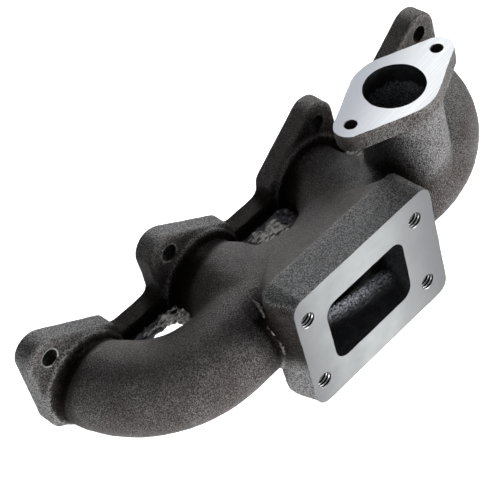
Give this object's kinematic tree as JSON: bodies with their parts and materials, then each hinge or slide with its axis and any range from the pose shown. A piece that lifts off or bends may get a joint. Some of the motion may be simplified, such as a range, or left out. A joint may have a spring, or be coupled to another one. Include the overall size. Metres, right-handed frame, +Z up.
{
  "type": "turbo exhaust manifold",
  "caption": "Cast log-type exhaust manifold with slanted head pads on a strap, a square turbine flange on the front and an upright wastegate branch.",
  "frame": {"origin": "on the head face, midway between the two middle ports, on the line of the port centres", "axes": "+X along the engine from the plain end to the wastegate end, +Y into the cylinder head, +Z up along the wastegate branch"},
  "size_m": [0.321, 0.104, 0.1137],
  "materials": {
    "cast_iron": "sand-cast skin with machined faces"
  },
  "bodies": {
    "root": {"manifold_casting": "cast_iron"}
  },
  "joints": []
}
